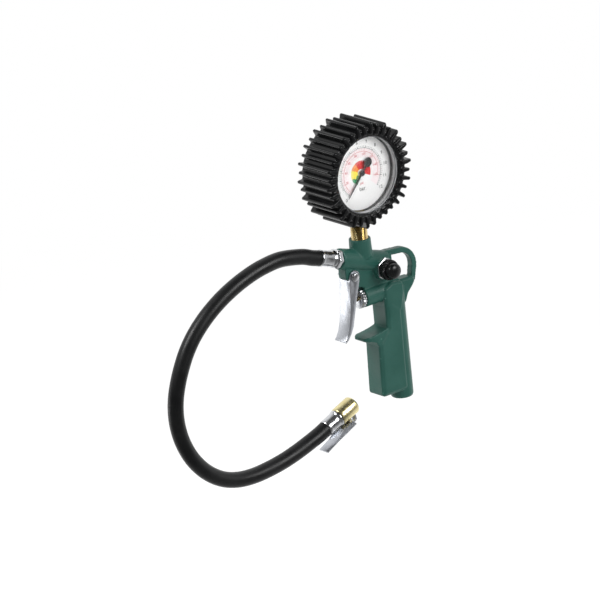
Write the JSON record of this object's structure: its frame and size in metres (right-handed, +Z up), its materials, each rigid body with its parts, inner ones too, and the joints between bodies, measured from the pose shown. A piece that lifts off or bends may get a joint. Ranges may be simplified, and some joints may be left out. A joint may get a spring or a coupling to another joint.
{
  "type": "tyre inflator",
  "caption": "Pistol-grip tyre inflator with a dial gauge in a rubber boot, a press trigger, a deflation button and a hose with a clip-on chuck.",
  "frame": {"origin": "top of the hanging loop's inside, where a hook bears, in the mid-plane of the gun", "axes": "+Z up along the grip towards the gauge, -X to the front, where the hose leaves, -Y to the side that the dial and the deflation button face"},
  "size_m": [0.2466, 0.0393, 0.2555],
  "materials": {
    "green_paint": "satin green paint over a die-cast aluminium body",
    "zinc_plate": "bright zinc plate",
    "chrome_plate": "bright plate",
    "brass": "machined",
    "black_rubber": "satin",
    "black_plastic": "gloss",
    "spring_steel": "drawn wire",
    "nitrile": "matt",
    "white_enamel": "white enamel on thin sheet",
    "clear_lens": "clear and polished",
    "red_rubber": "matt",
    "black_enamel": "matt black",
    "hose_rubber": "satin, faint wrap marks"
  },
  "bodies": {
    "body": {"gun_body": "green_paint", "trigger_pivot_screw": "zinc_plate", "trigger_pivot_nut": "zinc_plate", "gland_nut": "chrome_plate", "stem_o_ring": "nitrile", "valve_spring": "spring_steel", "deflate_valve_body": "chrome_plate", "deflate_sleeve": "black_plastic", "deflate_spring": "spring_steel", "gauge_boot": "black_rubber", "gauge_case": "zinc_plate", "gauge_bezel": "chrome_plate", "gauge_lens": "clear_lens", "lens_gasket": "nitrile", "gauge_dial": "white_enamel", "dial_screw_1": "white_enamel", "dial_screw_2": "white_enamel", "hairspring": "brass", "movement_back_plate": "brass", "movement_front_plate": "brass", "movement_pillar_1": "brass", "movement_pillar_2": "brass", "movement_pillar_3": "brass", "bourdon_tube": "brass", "bourdon_tip": "brass", "gauge_socket": "brass", "outlet_fitting": "chrome_plate", "outlet_ferrule": "chrome_plate", "hose": "hose_rubber", "chuck_ferrule": "chrome_plate", "chuck_body": "brass", "chuck_seal": "red_rubber", "chuck_depressor": "brass", "chuck_hose_barb": "brass", "chuck_lever_pin": "zinc_plate", "chuck_lever_spring": "spring_steel"},
    "trigger": {"trigger": "zinc_plate"},
    "valve": {"valve_stem": "brass", "poppet_seal": "nitrile"},
    "deflate": {"deflate_button": "black_plastic", "deflate_stem": "brass", "deflate_seal": "nitrile"},
    "pointer": {"gauge_pointer": "black_enamel", "pinion_arbor": "brass"},
    "sector": {"sector_gear": "brass"},
    "link": {"tip_link": "brass"},
    "lever": {"chuck_lever": "zinc_plate"}
  },
  "joints": [
    {"name": "trigger_hinge", "type": "hinge", "parent": "body", "child": "trigger", "pos_m": [-0.0479, 0, -0.0044], "axis": [0, -1, 0], "range_deg": [0, 10], "stiffness_Nm_per_rad": 0.8, "springref_deg": -5.73},
    {"name": "valve_slide", "type": "slide", "parent": "body", "child": "valve", "axis": [1, 0, 0], "range_m": [0, 0.0036], "deforming": ["valve_spring"]},
    {"name": "deflate_slide", "type": "slide", "parent": "body", "child": "deflate", "axis": [0, 1, 0], "range_m": [0, 0.0025], "stiffness_N_per_m": 600, "springref_m": -0.002, "deforming": ["deflate_spring"]},
    {"name": "sector_hinge", "type": "hinge", "parent": "body", "child": "sector", "pos_m": [-0.0346, 0, 0.0611], "axis": [0, 1, 0], "range_deg": [-27, 0], "stiffness_Nm_per_rad": 0.02, "springref_deg": 8.59},
    {"name": "pointer_spin", "type": "hinge", "parent": "body", "child": "pointer", "pos_m": [-0.0346, 0, 0.0757], "axis": [0, 1, 0], "range_deg": [0, 270]},
    {"name": "link_hinge", "type": "hinge", "parent": "sector", "child": "link", "pos_m": [-0.0292, 0, 0.0589], "axis": [0, 1, 0], "range_deg": [0, 27]},
    {"name": "lever_hinge", "type": "hinge", "parent": "body", "child": "lever", "pos_m": [-0.06285, 0, -0.11889], "axis": [0, 1, 0], "range_deg": [0, 10], "stiffness_Nm_per_rad": 0.4, "springref_deg": -5.73}
  ],
  "couplings": [
    {"joint": "valve_slide", "follows": "trigger_hinge", "m_per_rad": 0.0205},
    {"joint": "pointer_spin", "follows": "sector_hinge", "ratio": -10},
    {"joint": "link_hinge", "follows": "sector_hinge", "ratio": -1}
  ]
}
